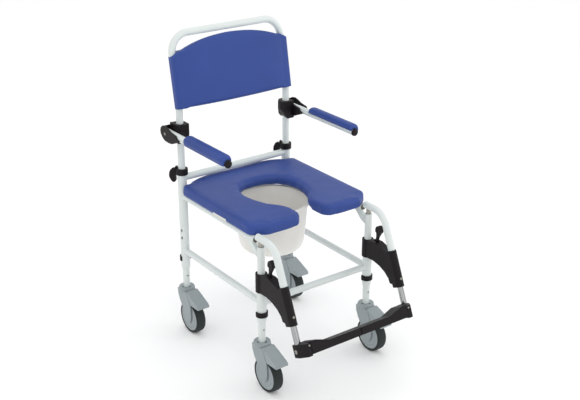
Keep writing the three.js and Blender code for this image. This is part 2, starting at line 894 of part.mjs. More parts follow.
function addCasters() {
  const parts = casterParts();
  const extension = turned([
    [10.2, CASTER_TOP_Z + GAP],
    [12.5, CASTER_TOP_Z + GAP],
    [12.5, 330],
    [10.2, 330],
  ]);
  const pinHole = rod(v3(0, 0, 222), v3(30, 0, 222), 3.4, 10);
  const corners = [
    ['front_left', LEG_X, FRONT_LEG_Y],
    ['front_right', -LEG_X, FRONT_LEG_Y],
    ['rear_left', LEG_X, REAR_LEG_Y],
    ['rear_right', -LEG_X, REAR_LEG_Y],
  ];
  for (const [corner, x, y] of corners) {
    const caster = new THREE.Group();
    caster.position.set(x, y, 0);
    group.add(caster);
    add(`leg_extension_${corner}`, cut(extension, pinHole.clone().rotateZ(-Math.PI / 2)), paint, caster);
    add(`caster_fork_${corner}`, parts.fork, grey, caster);
    add(`brake_pedal_${corner}`, parts.pedal, grey, caster);
    add(`wheel_hub_${corner}`, parts.hub, grey, caster);
    add(`tyre_${corner}`, parts.tyre, rubber, caster);
  }
}

addLegs();
addRails();
addSeatRails();
addHeightClips();
addSeat();
addPan();
addBackrest();
addBackCollars();
addArms();
addHangers();
addFootrests();
addCasters();

export default group;
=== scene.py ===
import math

import bmesh
import bpy
import numpy as np
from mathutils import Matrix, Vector


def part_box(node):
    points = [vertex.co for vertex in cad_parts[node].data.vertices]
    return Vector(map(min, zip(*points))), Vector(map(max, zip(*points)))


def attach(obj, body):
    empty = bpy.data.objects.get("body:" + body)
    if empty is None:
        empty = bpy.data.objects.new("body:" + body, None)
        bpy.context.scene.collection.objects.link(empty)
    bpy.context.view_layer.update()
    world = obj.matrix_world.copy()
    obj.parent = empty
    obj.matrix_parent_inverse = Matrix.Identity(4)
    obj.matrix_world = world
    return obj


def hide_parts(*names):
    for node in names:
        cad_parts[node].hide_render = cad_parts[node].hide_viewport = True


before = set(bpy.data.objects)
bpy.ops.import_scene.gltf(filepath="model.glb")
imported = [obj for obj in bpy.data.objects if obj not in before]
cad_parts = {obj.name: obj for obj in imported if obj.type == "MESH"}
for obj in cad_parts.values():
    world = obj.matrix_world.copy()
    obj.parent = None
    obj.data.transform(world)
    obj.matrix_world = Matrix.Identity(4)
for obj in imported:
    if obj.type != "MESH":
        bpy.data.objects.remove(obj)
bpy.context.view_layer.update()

MM = 0.001
SIDES = {"left": 1, "right": -1}
LEG_X = 230
REAR_LEG_Y = 344
FRONT_LEG_Y = -154
TUBE_R = 12.7
SLEEVE_R = 16.5
RAIL_R = 11.8
FOOT_TUBE_R = 10.5
HANGER_TILT = math.radians(23)
HANGER_FOOT = (-288, 423)
WHEEL_R = 62.5
TRAIL = 38
SEAT_BOTTOM_Z = 558
SEAT_TOP_Z = 597
BACK_BEND_Z = 870
BACK_TOP = (389, 1127)
BACK_TILT = math.atan2(BACK_TOP[0] - REAR_LEG_Y, BACK_TOP[1] - BACK_BEND_Z)
ARM_X = 266
ARM_Z = 787
ARM_PIVOT_Y = 357
LEG_BOTTOM_Z = 247
FRONT_LEG_TOP_Z = 530
REAR_LEG_TOP_Z = 640
LOWER_RAIL_Z = 323
SEAT_RAIL_Z = 545
REAR_CROSSBAR_Z = 613
SOCKET_R = 13.0  # the bore that takes a leg extension or a back post
TUBE_INSET = 14  # how far a crossing tube stops short of a leg's axis
NARROW_WELD = 2.6
PAN_CENTRE_Y = 115
SHARP_ANGLE = math.radians(35)
DISC_ANGLE = math.radians(40)
WIDE_ANGLE = math.radians(50)
COAT_ROUGHNESS = 0.25
BUMP_STRENGTH = 1.03
BEVEL_NORMAL_WEIGHT = 70
WORLD_STRENGTH = 1.03
CORNERS = {
    "front_left": (LEG_X, FRONT_LEG_Y),
    "front_right": (-LEG_X, FRONT_LEG_Y),
    "rear_left": (LEG_X, REAR_LEG_Y),
    "rear_right": (-LEG_X, REAR_LEG_Y),
}

low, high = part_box("rear_leg_left")
SHIFT = (low.y + high.y) / 2 - REAR_LEG_Y * MM


def at(x, y, z):
    """A point of the chair, from its millimetres to the scene's metres."""
    return Vector((x * MM, y * MM + SHIFT, z * MM))


def linear(r, g, b):
    """An sRGB colour, 0 to 255, as the shader's linear colour."""
    return tuple(
        c / 12.92 if c <= 0.04045 else ((c + 0.055) / 1.055) ** 2.4 for c in (r / 255, g / 255, b / 255)
    )


# ---- materials ----
def surface(
    name,
    colour,
    rough,
    tone=0.06,
    tone_scale=9.0,
    reflection_streak_stretch=None,
    rough_swing=0.06,
    grain="noise",
    grain_size=0.0006,
    grain_depth=0.00002,
    wave_depth=0.0,
    metallic=0.0,
    coat=0.0,
    specular=0.5,
):
    """A node material: broad colour variation, uneven roughness and a surface grain in bump."""
    material = bpy.data.materials.new(name)
    material.use_nodes = True
    tree = material.node_tree
    shader = tree.nodes["Principled BSDF"]
    shader.inputs["Metallic"].default_value = metallic
    shader.inputs["Coat Weight"].default_value = coat
    shader.inputs["Coat Roughness"].default_value = COAT_ROUGHNESS
    shader.inputs["Specular IOR Level"].default_value = specular
    place = tree.nodes.new("ShaderNodeTexCoord").outputs["Object"]

    def noise(scale, detail, stretch=None):
        node = tree.nodes.new("ShaderNodeTexNoise")
        node.inputs["Scale"].default_value = scale
        node.inputs["Detail"].default_value = detail
        source = place
        if stretch:
            mapping = tree.nodes.new("ShaderNodeMapping")
            mapping.inputs["Scale"].default_value = stretch
            tree.links.new(place, mapping.inputs["Vector"])
            source = mapping.outputs["Vector"]
        tree.links.new(source, node.inputs["Vector"])
        return node.outputs["Fac"]

    ramp = tree.nodes.new("ShaderNodeValToRGB")
    ramp.color_ramp.elements[0].position = 0.3
    ramp.color_ramp.elements[1].position = 0.7
    ramp.color_ramp.elements[0].color = (*[c * (1 - tone) for c in colour], 1)
    ramp.color_ramp.elements[1].color = (*[min(1, c * (1 + tone)) for c in colour], 1)
    # Stretched, this tone noise makes lengthwise light and dark streaks: the chrome's painted reflections.
    tree.links.new(noise(tone_scale, 4, reflection_streak_stretch), ramp.inputs["Fac"])
    tree.links.new(ramp.outputs["Color"], shader.inputs["Base Color"])

    spread = tree.nodes.new("ShaderNodeMapRange")
    spread.inputs["To Min"].default_value = max(0.03, rough - rough_swing)
    spread.inputs["To Max"].default_value = rough + rough_swing
    tree.links.new(noise(tone_scale * 5, 6), spread.inputs["Value"])
    tree.links.new(spread.outputs["Result"], shader.inputs["Roughness"])

    if grain == "leather":
        cells = tree.nodes.new("ShaderNodeTexVoronoi")
        cells.feature = "DISTANCE_TO_EDGE"
        cells.inputs["Scale"].default_value = 1 / grain_size
        tree.links.new(place, cells.inputs["Vector"])
        height = cells.outputs["Distance"]
    elif grain == "brushed":
        height = noise(1 / grain_size, 3, (1, 1, 0.03))
    else:
        height = noise(1 / grain_size, 3)
    bump = tree.nodes.new("ShaderNodeBump")
    bump.inputs["Strength"].default_value = BUMP_STRENGTH
    bump.inputs["Distance"].default_value = grain_depth
    tree.links.new(height, bump.inputs["Height"])
    if wave_depth:
        broad = tree.nodes.new("ShaderNodeBump")
        broad.inputs["Distance"].default_value = wave_depth
        tree.links.new(noise(30, 2), broad.inputs["Height"])
        tree.links.new(broad.outputs["Normal"], bump.inputs["Normal"])
    tree.links.new(bump.outputs["Normal"], shader.inputs["Normal"])
    return material


PAINT = surface("white_powder_coat", linear(210, 217, 215), 0.36, tone=0.03, grain_size=0.0012,
                grain_depth=0.00003, coat=0.15)
VINYL = surface("blue_vinyl", linear(44, 68, 137), 0.46, tone=0.07, tone_scale=5, grain="leather",
                grain_size=0.0011, grain_depth=0.00006, wave_depth=0.0006, specular=0.28)
BLACK = surface("black_plastic", linear(20, 15, 18), 0.52, tone=0.1, grain_size=0.0007,
                grain_depth=0.00006, specular=0.2)
# Near-black: painted shade, put on the discs and the core that stand where the inside of a hole or recess is
# in shade.
PAINTED_SHADE = surface("painted_hole_shade", linear(20, 18, 18), 0.8, tone=0.15)
GREY = surface("grey_plastic", linear(142, 151, 154), 0.42, tone=0.05, grain_size=0.0008,
               grain_depth=0.00005)
HUB_GREY = surface("hub_grey_plastic", linear(148, 156, 159), 0.38, tone=0.05, grain_size=0.0008,
                   grain_depth=0.00004)
RUBBER = surface("tyre_rubber", linear(26, 33, 32), 0.75, tone=0.18, tone_scale=25, grain_size=0.0009,
                 grain_depth=0.0001)
# Strong tone in stripes along the tube's length: painted reflection streaks.
CHROME = surface("chrome", linear(168, 170, 170), 0.14, tone=0.6, tone_scale=110,
                 reflection_streak_stretch=(1, 0.02, 0.02), rough_swing=0.05, grain="brushed",
                 grain_size=0.0004, grain_depth=0.000008, metallic=1.0)
STEEL = surface("zinc_screw", linear(160, 158, 150), 0.3, tone=0.08, tone_scale=90, metallic=1.0,
                grain_size=0.0003, grain_depth=0.00001)
PAN = surface("pan_plastic", linear(236, 234, 228), 0.36, tone=0.03, grain_size=0.0015,
              grain_depth=0.00003, coat=0.1)
BASE = surface("white_plastic", linear(214, 215, 210), 0.42, tone=0.03, grain_size=0.001,
               grain_depth=0.00004)
PLUG = surface("tube_end_plug", linear(92, 84, 76), 0.55, tone=0.12)


# ---- mesh helpers ----
def linked(name, data):
    """A new object, linked to the scene."""
    made = bpy.data.objects.new(name, data)
    bpy.context.scene.collection.objects.link(made)
    return made


def piece(name, mesh, material, body, nodes=(), smooth_angle=SHARP_ANGLE):
    """Links a mesh as a piece that rides on a body and takes its finish from a slot."""
    made = linked(name, mesh)
    mesh.materials.clear()
    mesh.materials.append(material)
    mesh.shade_smooth()
    if smooth_angle:
        mesh.set_sharp_from_angle(angle=smooth_angle)
    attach(made, body)
    if nodes:
        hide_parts(*nodes)
    return made


def mesh_of(name, points, faces):
    """A mesh with its doubled points merged and its faces turned outwards."""
    mesh = bpy.data.meshes.new(name)
    mesh.from_pydata([tuple(p) for p in points], [], faces)
    bm = bmesh.new()
    bm.from_mesh(mesh)
    bmesh.ops.remove_doubles(bm, verts=bm.verts, dist=1e-7)
    bmesh.ops.recalc_face_normals(bm, faces=bm.faces)
    bm.to_mesh(mesh)
    bm.free()
    return mesh


def joined(name, meshes):
    """Several meshes as one."""
    points, faces = [], []
    for mesh in meshes:
        start = len(points)
        points += [v.co.copy() for v in mesh.vertices]
        faces += [[start + i for i in polygon.vertices] for polygon in mesh.polygons]
    return mesh_of(name, points, faces)


def strip_faces(rows, count, ring=False):
    """Quads that join each of rows closed loops of count points to the next one."""
    faces = []
    for j in range(rows if ring else rows - 1):
        a, b = j * count, (j + 1) % rows * count
        faces += [(a + i, a + (i + 1) % count, b + (i + 1) % count, b + i) for i in range(count)]
    return faces


def loops_mesh(name, loops, ring=False):
    """Skins a row of equal-length closed loops of points, capped unless the row is a ring."""
    count = len(loops[0])
    points = [p for loop in loops for p in loop]
    faces = strip_faces(len(loops), count, ring)
    if not ring:
        faces.append(tuple(range(count))[::-1])
        faces.append(tuple((len(loops) - 1) * count + i for i in range(count)))
    return mesh_of(name, points, faces)


def bent(corners, radii, steps):
    """Corner points with a bend radius at each inner corner, as a list of stations."""
    corners = [Vector(c) for c in corners]
    stations = [corners[0]]
    for i in range(1, len(corners) - 1):
        into = (corners[i] - corners[i - 1]).normalized()
        out = (corners[i + 1] - corners[i]).normalized()
        turn = into.angle(out)
        reach = radii[i - 1] * math.tan(turn / 2)
        start = corners[i] - into * reach
        side = (out - into * out.dot(into)).normalized()
        centre = start + side * radii[i - 1]
        for k in range(steps + 1):
            angle = turn * k / steps
            spoke = side * -math.cos(angle) + into * math.sin(angle)
            stations.append(centre + spoke * radii[i - 1])
    stations.append(corners[-1])
    return stations


def directions(stations):
    """The direction of a path at each of its stations."""
    found = []
    for i in range(len(stations)):
        before, after = stations[max(i - 1, 0)], stations[min(i + 1, len(stations) - 1)]
        into = (stations[i] - before).normalized() if i else Vector()
        out = (after - stations[i]).normalized() if i < len(stations) - 1 else Vector()
        found.append((into + out).normalized())
    return found


def tube_mesh(name, stations, radius, segments=32, wall=0.0):
    """A round tube in millimetres along stations, with softly broken ends; wall makes the ends hollow."""
    stations = [Vector(s) for s in stations]
    along = directions(stations)
    across = along[0].orthogonal().normalized()
    first, last = stations[0], stations[-1]
    lip = 0.6
    rings = [(first, along[0], radius - lip), (first + along[0] * lip, along[0], radius)]
    rings += [(s, d, radius) for s, d in zip(stations[1:-1], along[1:-1])]
    rings += [(last - along[-1] * lip, along[-1], radius), (last, along[-1], radius - lip)]
    if wall:
        depth = 12  # how far the hollow end reaches in
        rings.insert(0, (first, along[0], radius - wall))
        rings.insert(0, (first + along[0] * depth, along[0], radius - wall))
        rings.append((last, along[-1], radius - wall))
        rings.append((last - along[-1] * depth, along[-1], radius - wall))
    loops = []
    for centre, direction, r in rings:
        across = (across - direction * across.dot(direction)).normalized()
        up = direction.cross(across)
        loops.append(
            [
                at(*(centre + (across * math.cos(a) + up * math.sin(a)) * r))
                for a in (2 * math.pi * i / segments for i in range(segments))
            ]
        )
    return loops_mesh(name, loops)


def lathe_mesh(name, profile, centre, axis="Z", segments=48, ring=False):
    """Turns a [radius, height] profile, in millimetres, about an axis through centre."""
    loops = []
    for r, h in profile:
        loop = []
        for i in range(segments):
            a = 2 * math.pi * i / segments
            u, v = r * math.cos(a), r * math.sin(a)
            offset = {"Z": (u, v, h), "X": (h, u, v), "Y": (v, h, u)}[axis]
            loop.append(at(*[c + o for c, o in zip(centre, offset)]))
        loops.append(loop)
    return loops_mesh(name, loops, ring=ring)


def apply_modifiers(made):
    """Replaces the object's mesh by its evaluated one."""
    graph = bpy.context.evaluated_depsgraph_get()
    mesh = bpy.data.meshes.new_from_object(made.evaluated_get(graph))
    made.modifiers.clear()
    made.data = mesh
    return mesh


def softened(made, width, segments=2, dissolve=True):
    """Rounds the sharp edges of a hard piece."""
    if dissolve:
        flat = made.modifiers.new("flat", "DECIMATE")
        flat.decimate_type = "DISSOLVE"
        flat.angle_limit = math.radians(1.0)
    bevel = made.modifiers.new("edges", "BEVEL")
    bevel.limit_method = "ANGLE"
    bevel.angle_limit = SHARP_ANGLE
    bevel.width = width * MM
    bevel.segments = segments
    bevel.use_clamp_overlap = True
    bevel.harden_normals = False
    shade = made.modifiers.new("shade", "WEIGHTED_NORMAL")
    shade.weight = BEVEL_NORMAL_WEIGHT
    shade.keep_sharp = False
    made.data.shade_smooth()


def prism_mesh(name, outline, x0, x1):
    """A side view outline of [y, z] points, in millimetres, from x0 to x1."""
    loops = [[at(x, y, z) for y, z in outline] for x in (x0, x1)]
    return loops_mesh(name, loops)


def finish_node(node, material, width, segments):
    """A CAD node that stays: new material and rounded edges."""
    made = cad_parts[node]
    for place in made.material_slots:
        place.material = material
    softened(made, width, segments)


def on_hanger(s, t=0.0):
    """A place near the sloping hanger: s down from the bracket's mouth, t ahead of the axis."""
    c, k = math.cos(HANGER_TILT), math.sin(HANGER_TILT)
    return HANGER_FOOT[0] - k * s - c * t, HANGER_FOOT[1] - c * s + k * t


# ---- screws ----
def screw(name, point, direction, radius, body, rise=1.6):
    """A pan-head screw with a shallow round recess, its head standing out of point along direction."""
    profile = [(0.01, -1.5), (radius * 0.98, -1.5), (radius, 0.1), (radius * 0.94, rise * 0.55),
               (radius * 0.72, rise * 0.9), (radius * 0.46, rise), (radius * 0.4, rise),
               (radius * 0.36, rise * 0.3), (0.01, rise * 0.3)]
    turn = Vector((0, 0, 1)).rotation_difference(Vector(direction)).to_matrix()
    sides = 24
    loops = []
    for r, h in profile:
        loop = [Vector((r * math.cos(2 * math.pi * i / sides), r * math.sin(2 * math.pi * i / sides), h))
                for i in range(sides)]
        loops.append([at(*(Vector(point) + turn @ p)) for p in loop])
    return piece(name, loops_mesh(name, loops), STEEL, body)


# ---- frame tubes ----
def sleeve_profile(z0, top_steps):
    """The outer side of a leg, with the tapered bush at its foot, from the foot up."""
    return [(SOCKET_R, z0), (14.0, z0), (14.3, z0 + 1), (SLEEVE_R - 0.4, z0 + 11), (SLEEVE_R, z0 + 13),
            *top_steps]


def drilled(made, tools):
    """Cuts the tools' shapes out of a piece and removes them."""
    for tool in tools:
        modifier = made.modifiers.new("hole", "BOOLEAN")
        modifier.object = tool
        modifier.solver = "EXACT"
    materials = list(made.data.materials)
    mesh = apply_modifiers(made)
    mesh.materials.clear()
    for material in materials:
        mesh.materials.append(material)
    mesh.shade_smooth()
    mesh.set_sharp_from_angle(angle=SHARP_ANGLE)
    for tool in tools:
        bpy.data.objects.remove(tool)


HOLE_REACH = 8  # how far a cutter reaches to each side of the wall it cuts


def slot_tool(name, centre, direction, half_height, radius):
    """An upright slot-shaped cutter that points along direction."""
    direction = Vector(direction).normalized()
    side = direction.cross(Vector((0, 0, 1))).normalized()
    sides = 24
    outline = []
    for i in range(sides):
        a = 2 * math.pi * i / sides
        height = radius * math.sin(a) + math.copysign(half_height, math.sin(a + 1e-6))
        outline.append(side * radius * math.cos(a) + Vector((0, 0, height)))
    loops = [[at(*(Vector(centre) + direction * d + p)) for p in outline] for d in (-HOLE_REACH, HOLE_REACH)]
    return linked(name, loops_mesh(name, loops))


SLOT_HEIGHTS = (408, 379)
CORE_BORE_R = 10.5
for side, sign in SIDES.items():
    x = sign * LEG_X
    rear = sleeve_profile(LEG_BOTTOM_Z, [(SLEEVE_R, REAR_LEG_TOP_Z - 1), (SLEEVE_R - 0.8, REAR_LEG_TOP_Z),
                          (SOCKET_R, REAR_LEG_TOP_Z), (SOCKET_R, 560), (CORE_BORE_R, 559),
                          (CORE_BORE_R, 359), (SOCKET_R, 358)])
    mesh = lathe_mesh(f"rear_leg_tube_{side}", rear, (x, REAR_LEG_Y, 0), ring=True)
    rear_leg = piece(f"rear_leg_tube_{side}", mesh, PAINT, "frame",
                     [f"rear_leg_{side}"])
    facing = Vector((sign * 0.934, -0.358, 0))
    holes = []
    for z in SLOT_HEIGHTS:
        spot = Vector((x, REAR_LEG_Y, z)) + facing.normalized() * 20
        holes.append(slot_tool(f"slot_{side}_{z}", spot, facing, 2.8, 3.4))
    drilled(rear_leg, holes)
    # A dark cylinder in the leg's wall shows at the bottom of the slots: painted shade for the slots'
    # insides.
    slot_shade = lathe_mesh(f"rear_leg_slot_shade_{side}", [(0.01, 362), (13.4, 362), (13.4, 420), (0.01, 420)],
                      (x, REAR_LEG_Y, 0))
    piece(f"rear_leg_slot_shade_{side}", slot_shade, PAINTED_SHADE, "frame")
    front = sleeve_profile(LEG_BOTTOM_Z, [(SLEEVE_R, 361), (SLEEVE_R - 0.5, 363), (TUBE_R + 0.4, 366),
                           (TUBE_R, 368), (TUBE_R, FRONT_LEG_TOP_Z - 1), (TUBE_R - 0.8, FRONT_LEG_TOP_Z),
                           (9.6, FRONT_LEG_TOP_Z), (9.6, 500), (9.6, 400), (9.6, 376), (SOCKET_R, 356)])
    mesh = lathe_mesh(f"front_leg_tube_{side}", front, (x, FRONT_LEG_Y, 0), ring=True)
    piece(f"front_leg_tube_{side}", mesh, PAINT, "frame", [f"front_leg_{side}"])


def weld(leg, direction, rail_r, z, width=3.0):
    """A weld bead where a rail leaves a leg along a flat direction."""
    direction = Vector(direction)
    side = Vector((-direction.y, direction.x, 0))
    sides = 40
    rings = []
    bead = [(rail_r, width), (rail_r + width * 0.35, width * 0.35), (rail_r + width, 0.0),
            (rail_r - 1.0, -1.5)]
    for r, out in bead:
        ring = []
        for i in range(sides):
            a = 2 * math.pi * i / sides
            u, v = r * math.cos(a), r * math.sin(a)
            reach = math.sqrt(max(SLEEVE_R * SLEEVE_R - u * u, 1.0)) + out
            spot = Vector((*leg, z)) + direction * reach + side * u + Vector((0, 0, v))
            ring.append(at(*spot))
        rings.append(ring)
    return loops_mesh("weld", rings, ring=True)


welds = []
for side, sign in SIDES.items():
    x = sign * LEG_X
    rail = tube_mesh(f"side_rail_tube_{side}", [(x, FRONT_LEG_Y + TUBE_INSET, LOWER_RAIL_Z),
                     (x, REAR_LEG_Y - TUBE_INSET, LOWER_RAIL_Z)], RAIL_R)
    piece(f"side_rail_tube_{side}", rail, PAINT, "frame", [f"side_rail_{side}"])
    welds.append(weld((x, FRONT_LEG_Y), (0, 1, 0), RAIL_R, LOWER_RAIL_Z))
    welds.append(weld((x, REAR_LEG_Y), (0, -1, 0), RAIL_R, LOWER_RAIL_Z))
    welds.append(weld((x, REAR_LEG_Y), (0, -1, 0), TUBE_R, SEAT_RAIL_Z, NARROW_WELD))
    welds.append(weld((x, FRONT_LEG_Y), (-sign, 0, 0), RAIL_R, LOWER_RAIL_Z))
    welds.append(weld((x, REAR_LEG_Y), (-sign, 0, 0), TUBE_R, REAR_CROSSBAR_Z, NARROW_WELD))
for name, y, z, r in (("front_crossbar", FRONT_LEG_Y, LOWER_RAIL_Z, RAIL_R),
                      ("rear_crossbar", REAR_LEG_Y, REAR_CROSSBAR_Z, TUBE_R)):
    bar = tube_mesh(f"{name}_tube", [(-LEG_X + TUBE_INSET, y, z), (LEG_X - TUBE_INSET, y, z)], r)
    piece(f"{name}_tube", bar, PAINT, "frame", [name])
piece("weld_beads", joined("weld_beads", welds), PAINT, "frame")

for side, sign in SIDES.items():
    x = sign * LEG_X
    rail = tube_mesh(f"seat_rail_tube_{side}", [(x, -124, SEAT_RAIL_Z),
                     (x, REAR_LEG_Y - TUBE_INSET, SEAT_RAIL_Z)], TUBE_R, wall=2.4)
    plate_outline = [(-60, 536), (-80, 530), (-97, 518), (-112, 503), (-126, 493), (-141.2, 488),
                     (-141.2, 511), (-130, 518), (-118, 527), (-110, 536), (-104, SEAT_RAIL_Z),
                     (-60, SEAT_RAIL_Z)]
    plate = prism_mesh(f"gusset_plate_{side}", plate_outline, x - 8, x + 8)
    piece(f"seat_rail_tube_{side}", rail, PAINT, "frame", [f"seat_rail_{side}"])
    softened(piece(f"gusset_plate_{side}", plate, PAINT, "frame"), 2.6, 3,
             dissolve=False)
    plug = lathe_mesh(f"seat_rail_plug_{side}", [(0.01, -127), (9.5, -127), (10.6, -126), (10.6, -118),
                      (0.01, -118)], (x, 0, SEAT_RAIL_Z), axis="Y")
    piece(f"seat_rail_plug_{side}", plug, PLUG, "frame")

# ---- backrest frame ----
POST_FOOT_Z = 562
back_corners = [(-LEG_X, REAR_LEG_Y, POST_FOOT_Z), (-LEG_X, REAR_LEG_Y, BACK_BEND_Z), (-LEG_X, *BACK_TOP),
                (LEG_X, *BACK_TOP), (LEG_X, REAR_LEG_Y, BACK_BEND_Z), (LEG_X, REAR_LEG_Y, POST_FOOT_Z)]
back_mesh = tube_mesh("back_tube", bent(back_corners, [150, 68, 68, 150], 16), TUBE_R, 36)
piece("back_tube", back_mesh, PAINT, "back", ["back_frame"])

# ---- arms ----
for side, sign in SIDES.items():
    x = sign * ARM_X
    tube = tube_mesh(f"arm_rest_tube_{side}", [(x, -22, ARM_Z), (x, 370, ARM_Z)], TUBE_R)
    piece(f"arm_rest_tube_{side}", tube, PAINT, f"arm_{side}", [f"arm_tube_{side}"])
    cap = lathe_mesh(f"arm_end_plug_{side}", [(0.01, -29), (7, -28.8), (11.5, -27.6), (13.4, -25.6),
                     (13.8, -23.5), (13.8, -21), (13, -20.7), (0.01, -20.7)], (x, 0, ARM_Z), axis="Y")
    piece(f"arm_end_plug_{side}", cap, BLACK, f"arm_{side}")

# ---- hangers ----
HANGER_TOP_Z = 558
for side, sign in SIDES.items():
    x = sign * LEG_X
    rise = (HANGER_TOP_Z - HANGER_FOOT[1]) / math.cos(HANGER_TILT)
    corners = [(x, -135, HANGER_TOP_Z), (x, *on_hanger(-rise)), (x, *on_hanger(103))]
    bend = tube_mesh(f"hanger_bend_{side}", bent(corners, [65], 14), TUBE_R, 36, wall=2.2)
    peg = lathe_mesh(f"hanger_peg_{side}", [(0.01, 470), (8.4, 470), (9, 471), (9, 552), (0.01, 552)],
                     (x, FRONT_LEG_Y, 0))
    piece(f"hanger_bend_{side}", bend, PAINT, f"hanger_{side}", [f"hanger_tube_{side}"])
    piece(f"hanger_peg_{side}", peg, STEEL, f"hanger_{side}")
    slide = tube_mesh(f"footrest_slide_{side}", [(x, *on_hanger(12)), (x, *on_hanger(198))], FOOT_TUBE_R, 32)
    piece(f"footrest_slide_{side}", slide, CHROME, f"footrest_{side}", [f"footrest_tube_{side}"])
    plan = [(206.6, -15), (243, -15), (243, 12), (224, 41), (206.6, 41)]
    loops = [[at(sign * px, *on_hanger(down, ahead_of)) for px, ahead_of in plan] for down in (178, 222)]
    block = loops_mesh(f"footrest_socket_{side}", loops)
    softened(piece(f"footrest_socket_{side}", block, BLACK, f"footrest_{side}"), 1.8, 3,
             dissolve=False)

# ---- casters ----
PIN_HOLE_Z = 222
for corner, (x, y) in CORNERS.items():
    profile = [(10.2, 175.3), (12.3, 175.3), (12.5, 176), (12.5, 329.5), (12, 330), (10.2, 330)]
    mesh = lathe_mesh(f"extension_tube_{corner}", profile, (x, y, 0), ring=True)
    extension = piece(f"extension_tube_{corner}", mesh, PAINT, f"leg_extension_{corner}",
                      [f"leg_extension_{corner}"])
    drilled(extension, [slot_tool(f"pin_{corner}", (x, y - 14, PIN_HOLE_Z), (0, -1, 0), 0.01, 3.3)])
    wheel = (x, y - TRAIL, WHEEL_R)
    tread = [(53.2, 17.6), (55.5, 18.6), (58, 19), (60.3, 17.8), (61.7, 15), (62.3, 11), (62.5, 6)]
    tread = [(r, -h) for r, h in tread] + [(r, h) for r, h in reversed(tread)]
    mesh = lathe_mesh(f"wheel_tyre_{corner}", tread, wheel, axis="X", segments=72, ring=True)
    piece(f"wheel_tyre_{corner}", mesh, RUBBER, f"wheel_{corner}", [f"tyre_{corner}"],
          WIDE_ANGLE)
    half = [(5.4, 18), (30, 18), (36.8, 17.9), (38.2, 17.3), (39.3, 15.8), (41, 15.8), (42.2, 17.3),
            (43.6, 17.9), (50, 18), (52, 17.6), (52.9, 16.6)]
    disc = [(r, -h) for r, h in half] + [(r, h) for r, h in reversed(half)]
    mesh = lathe_mesh(f"wheel_disc_{corner}", disc, wheel, axis="X", segments=64, ring=True)
    piece(f"wheel_disc_{corner}", mesh, HUB_GREY, f"wheel_{corner}",
          [f"wheel_hub_{corner}"], DISC_ANGLE)

# ---- hard CAD nodes that stay ----
FINISHES = [
    (("front_height_clip", "rear_height_clip"), BLACK, 1.2, 2),
    (("back_collar", "back_lever", "latch_lever"), BLACK, 1.6, 3),
    (("arm_bracket", "hanger_bracket", "footplate"), BLACK, 2.0, 3),
    (("caster_fork", "brake_pedal"), GREY, 1.8, 3),
    (("seat_base",), BASE, 0.8, 2),
]
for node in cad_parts:
    for kinds, material, width, segments in FINISHES:
        if node.startswith(kinds):
            finish_node(node, material, width, segments)

# ---- pan ----
pan_profile = [(0.01, 364), (80, 364), (92, 365.5), (104, 371), (112, 379), (116.5, 390), (119, 402),
               (122.5, 434), (126, 466), (129, 507), (131.5, 540), (132.6, 545.4), (141.6, 545.8),
               (143.2, 547.4), (142, 549), (130.5, 549), (128.8, 547), (126, 507), (123, 466),
               (119.3, 434), (116, 403), (113, 390), (108.5, 381), (101, 373.5), (86, 367.8), (0.01, 367.5)]
pan_mesh = lathe_mesh("pan_bowl", pan_profile, (0, PAN_CENTRE_Y, 0), segments=96)
piece("pan_bowl", pan_mesh, PAN, "pan", ["commode_pan"], WIDE_ANGLE)

# ---- small fixed details ----
ahead = Vector((0, -math.cos(HANGER_TILT), math.sin(HANGER_TILT)))
for side, sign in SIDES.items():
    x = sign * LEG_X
    screw(f"arm_pivot_screw_{side}", (sign * 284.7, ARM_PIVOT_Y, ARM_Z), (sign, 0, 0), 5.5, "back")
    # A dark disc in the bracket's hole: painted shade.
    hole = lathe_mesh(f"bracket_recess_shade_{side}", [(0.01, 319.6), (2.8, 319.6), (3.4, 319.8), (3.4, 322),
                      (0.01, 322)], (x, 0, 777), axis="Y", segments=24)
    piece(f"bracket_recess_shade_{side}", hole, PAINTED_SHADE, "back")
    screw(f"hanger_screw_{side}", (x, *on_hanger(88, 15.2)), ahead, 4.4, f"hanger_{side}")
    # Dark discs on both faces of the hanger: painted shade in its recesses.
    for face, out in (("out", sign), ("in", -sign)):
        dot = lathe_mesh(f"hanger_recess_shade_{side}_{face}", [(0.01, out * 15.7), (2.4, out * 15.7),
                         (2.8, out * 14), (0.01, out * 14)], (x, -176, 409), axis="X", segments=20)
        piece(f"hanger_recess_shade_{side}_{face}", dot, PAINTED_SHADE, f"hanger_{side}")
    bump = prism_mesh(f"slide_catch_{side}", [on_hanger(84, -17), on_hanger(86, -23.5), on_hanger(91, -25),
                      on_hanger(101, -25), on_hanger(105, -22), on_hanger(106, -17)], x - 8, x + 8)
    softened(piece(f"slide_catch_{side}", bump, BLACK, f"hanger_{side}"), 1.6, 3,
             dissolve=False)
    screw(f"socket_screw_{side}", (sign * 243, -367, 238), (sign, 0, 0), 7.5, f"footrest_{side}", 2.2)
    screw(f"block_screw_{side}", (sign * 213, *on_hanger(186, 40.8)), ahead, 3.4, f"footrest_{side}")

# Dark discs in each caster plate: painted shade in its screw holes.
for corner, (x, y) in CORNERS.items():
    for name, turn in (("a", -1.3), ("b", math.pi)):
        spot = (x + 17 * math.cos(turn), y + 17 * math.sin(turn), 0)
        hole = lathe_mesh(f"plate_hole_shade_{corner}_{name}", [(0.01, 175.5), (2.6, 175.5), (3.1, 175.1),
                          (3.1, 173), (0.01, 173)], spot, segments=20)
        piece(f"plate_hole_shade_{corner}_{name}", hole, PAINTED_SHADE, f"caster_{corner}")


# ---- soft goods ----
def resampled(points, step):
    """Even points along a closed outline."""
    ring = np.array([*points, points[0]], float)
    lengths = np.hypot(*np.diff(ring, axis=0).T)
    total = np.concatenate([[0], np.cumsum(lengths)])
    places = np.linspace(0, total[-1], int(total[-1] / step), endpoint=False)
    return np.column_stack([np.interp(places, total, ring[:, k]) for k in (0, 1)])


